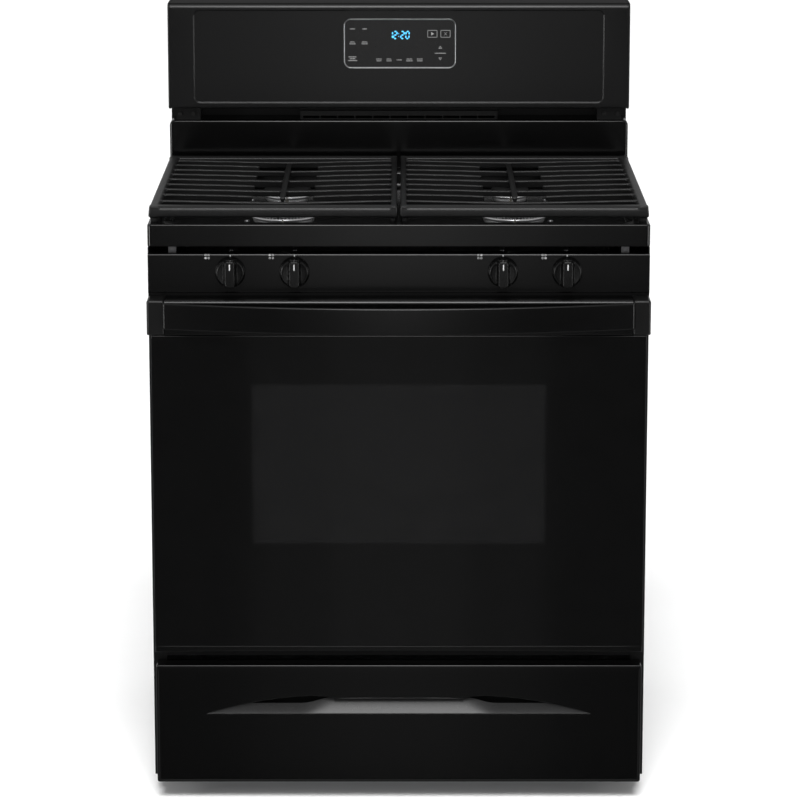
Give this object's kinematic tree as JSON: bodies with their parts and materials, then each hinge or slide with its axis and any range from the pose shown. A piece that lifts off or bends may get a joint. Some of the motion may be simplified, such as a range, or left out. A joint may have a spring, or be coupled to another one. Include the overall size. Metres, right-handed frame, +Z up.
{
  "type": "freestanding gas range",
  "caption": "Freestanding gas range with sealed burners, full-width cast grates, glass oven door with strap handle, storage drawer and rear console",
  "frame": {"origin": "on the floor at the centre of the outline", "axes": "+Z up, the front (door and knobs) faces -Y, +X is to the viewer's right when facing the front"},
  "size_m": [0.761, 0.7219, 1.174],
  "materials": {
    "body_enamel": "gloss black enamel",
    "cabinet_paint": "satin black paint",
    "galvanised": "galvanised sheet, satin",
    "oven_enamel": "speckled grey-blue porcelain enamel",
    "cast_iron": "matte enamelled cast iron",
    "cap_enamel": "matte black enamel",
    "burner_aluminium": "bead-blasted",
    "tube_aluminium": "drawn tube",
    "steel": "bright zinc-plated",
    "brass": "turned",
    "chrome_wire": "plated wire",
    "rubber": "matte",
    "black_plastic": "fine satin",
    "knob_plastic": "satin gloss",
    "door_glass": "black printed tempered glass",
    "inner_glass": "clear tempered glass",
    "touch_film": "gloss film",
    "bezel_silver": "satin silver",
    "circuit_board": "solder mask",
    "mineral_wool": "mineral wool",
    "gasket": "woven fibreglass rope",
    "ceramic": "glazed ceramic",
    "lamp_glass": "heat-resistant glass"
  },
  "bodies": {
    "range": {"side_panel_left": "cabinet_paint", "side_panel_right": "cabinet_paint", "rear_panel": "galvanised", "base_frame": "galvanised", "leveling_legs": "black_plastic", "burner_box": "galvanised", "front_frame": "cabinet_paint", "cooktop": "body_enamel", "manifold_panel": "body_enamel", "oven_cavity": "oven_enamel", "oven_bottom_panel": "oven_enamel", "insulation": "mineral_wool", "oven_burner": "steel", "oven_igniter": "ceramic", "oven_light": "lamp_glass", "temperature_probe": "steel", "gas_manifold": "steel", "valve_bodies": "brass", "gas_tubes": "tube_aluminium", "gas_regulator": "steel", "burner_bases": "burner_aluminium", "burner_caps": "cap_enamel", "spark_electrodes": "ceramic", "screws": "steel", "console_shell": "body_enamel", "console_end_caps": "black_plastic", "console_rear_cover": "cabinet_paint", "panel_bezel": "bezel_silver", "touch_panel": "touch_film", "control_board": "circuit_board", "splash_panel": "body_enamel", "oven_vent": "black_plastic", "door_gasket": "gasket", "drawer_rails": "galvanised"},
    "upper_rack": {"rack_upper": "chrome_wire"},
    "lower_rack": {"rack_lower": "chrome_wire"},
    "knob_left_outer": {"knob_left_outer": "knob_plastic"},
    "knob_left_inner": {"knob_left_inner": "knob_plastic"},
    "knob_right_inner": {"knob_right_inner": "knob_plastic"},
    "knob_right_outer": {"knob_right_outer": "knob_plastic"},
    "stem_left_outer": {"valve_stem_left_outer": "brass"},
    "stem_left_inner": {"valve_stem_left_inner": "brass"},
    "stem_right_inner": {"valve_stem_right_inner": "brass"},
    "stem_right_outer": {"valve_stem_right_outer": "brass"},
    "left_grate": {"grate_left": "cast_iron", "grate_feet_left": "rubber"},
    "right_grate": {"grate_right": "cast_iron", "grate_feet_right": "rubber"},
    "door": {"door_outer_glass": "door_glass", "door_inner_glass": "inner_glass", "door_frame": "cabinet_paint", "door_liner": "oven_enamel", "door_top_trim": "body_enamel", "door_end_caps": "black_plastic", "door_bottom_trim": "body_enamel", "door_handle": "body_enamel", "door_hinges": "steel"},
    "drawer": {"drawer_front": "body_enamel", "drawer_pan": "galvanised"}
  },
  "joints": [
    {"name": "door_hinge", "type": "hinge", "parent": "range", "child": "door", "pos_m": [0, -0.278, 0.2565], "axis": [1, 0, 0], "range_deg": [0, 88]},
    {"name": "drawer_slide", "type": "slide", "parent": "range", "child": "drawer", "axis": [0, -1, 0], "range_m": [0, 0.35]},
    {"name": "knob_left_outer_turn", "type": "hinge", "parent": "range", "child": "stem_left_outer", "pos_m": [-0.2545, -0.27, 0.826], "axis": [0, -1, 0], "range_deg": [0, 240]},
    {"name": "knob_left_outer_push", "type": "slide", "parent": "stem_left_outer", "child": "knob_left_outer", "axis": [0, 1, 0], "range_m": [0, 0.004], "stiffness_N_per_m": 1500},
    {"name": "knob_left_inner_turn", "type": "hinge", "parent": "range", "child": "stem_left_inner", "pos_m": [-0.1575, -0.27, 0.826], "axis": [0, -1, 0], "range_deg": [0, 240]},
    {"name": "knob_left_inner_push", "type": "slide", "parent": "stem_left_inner", "child": "knob_left_inner", "axis": [0, 1, 0], "range_m": [0, 0.004], "stiffness_N_per_m": 1500},
    {"name": "knob_right_inner_turn", "type": "hinge", "parent": "range", "child": "stem_right_inner", "pos_m": [0.1575, -0.27, 0.826], "axis": [0, -1, 0], "range_deg": [0, 240]},
    {"name": "knob_right_inner_push", "type": "slide", "parent": "stem_right_inner", "child": "knob_right_inner", "axis": [0, 1, 0], "range_m": [0, 0.004], "stiffness_N_per_m": 1500},
    {"name": "knob_right_outer_turn", "type": "hinge", "parent": "range", "child": "stem_right_outer", "pos_m": [0.2545, -0.27, 0.826], "axis": [0, -1, 0], "range_deg": [0, 240]},
    {"name": "knob_right_outer_push", "type": "slide", "parent": "stem_right_outer", "child": "knob_right_outer", "axis": [0, 1, 0], "range_m": [0, 0.004], "stiffness_N_per_m": 1500},
    {"name": "left_grate_lift", "type": "slide", "parent": "range", "child": "left_grate", "axis": [0, 0, 1], "range_m": [0, 0.15]},
    {"name": "right_grate_lift", "type": "slide", "parent": "range", "child": "right_grate", "axis": [0, 0, 1], "range_m": [0, 0.15]},
    {"name": "upper_rack_slide", "type": "slide", "parent": "range", "child": "upper_rack", "axis": [0, -1, 0], "range_m": [0, 0.02]},
    {"name": "lower_rack_slide", "type": "slide", "parent": "range", "child": "lower_rack", "axis": [0, -1, 0], "range_m": [0, 0.02]}
  ]
}
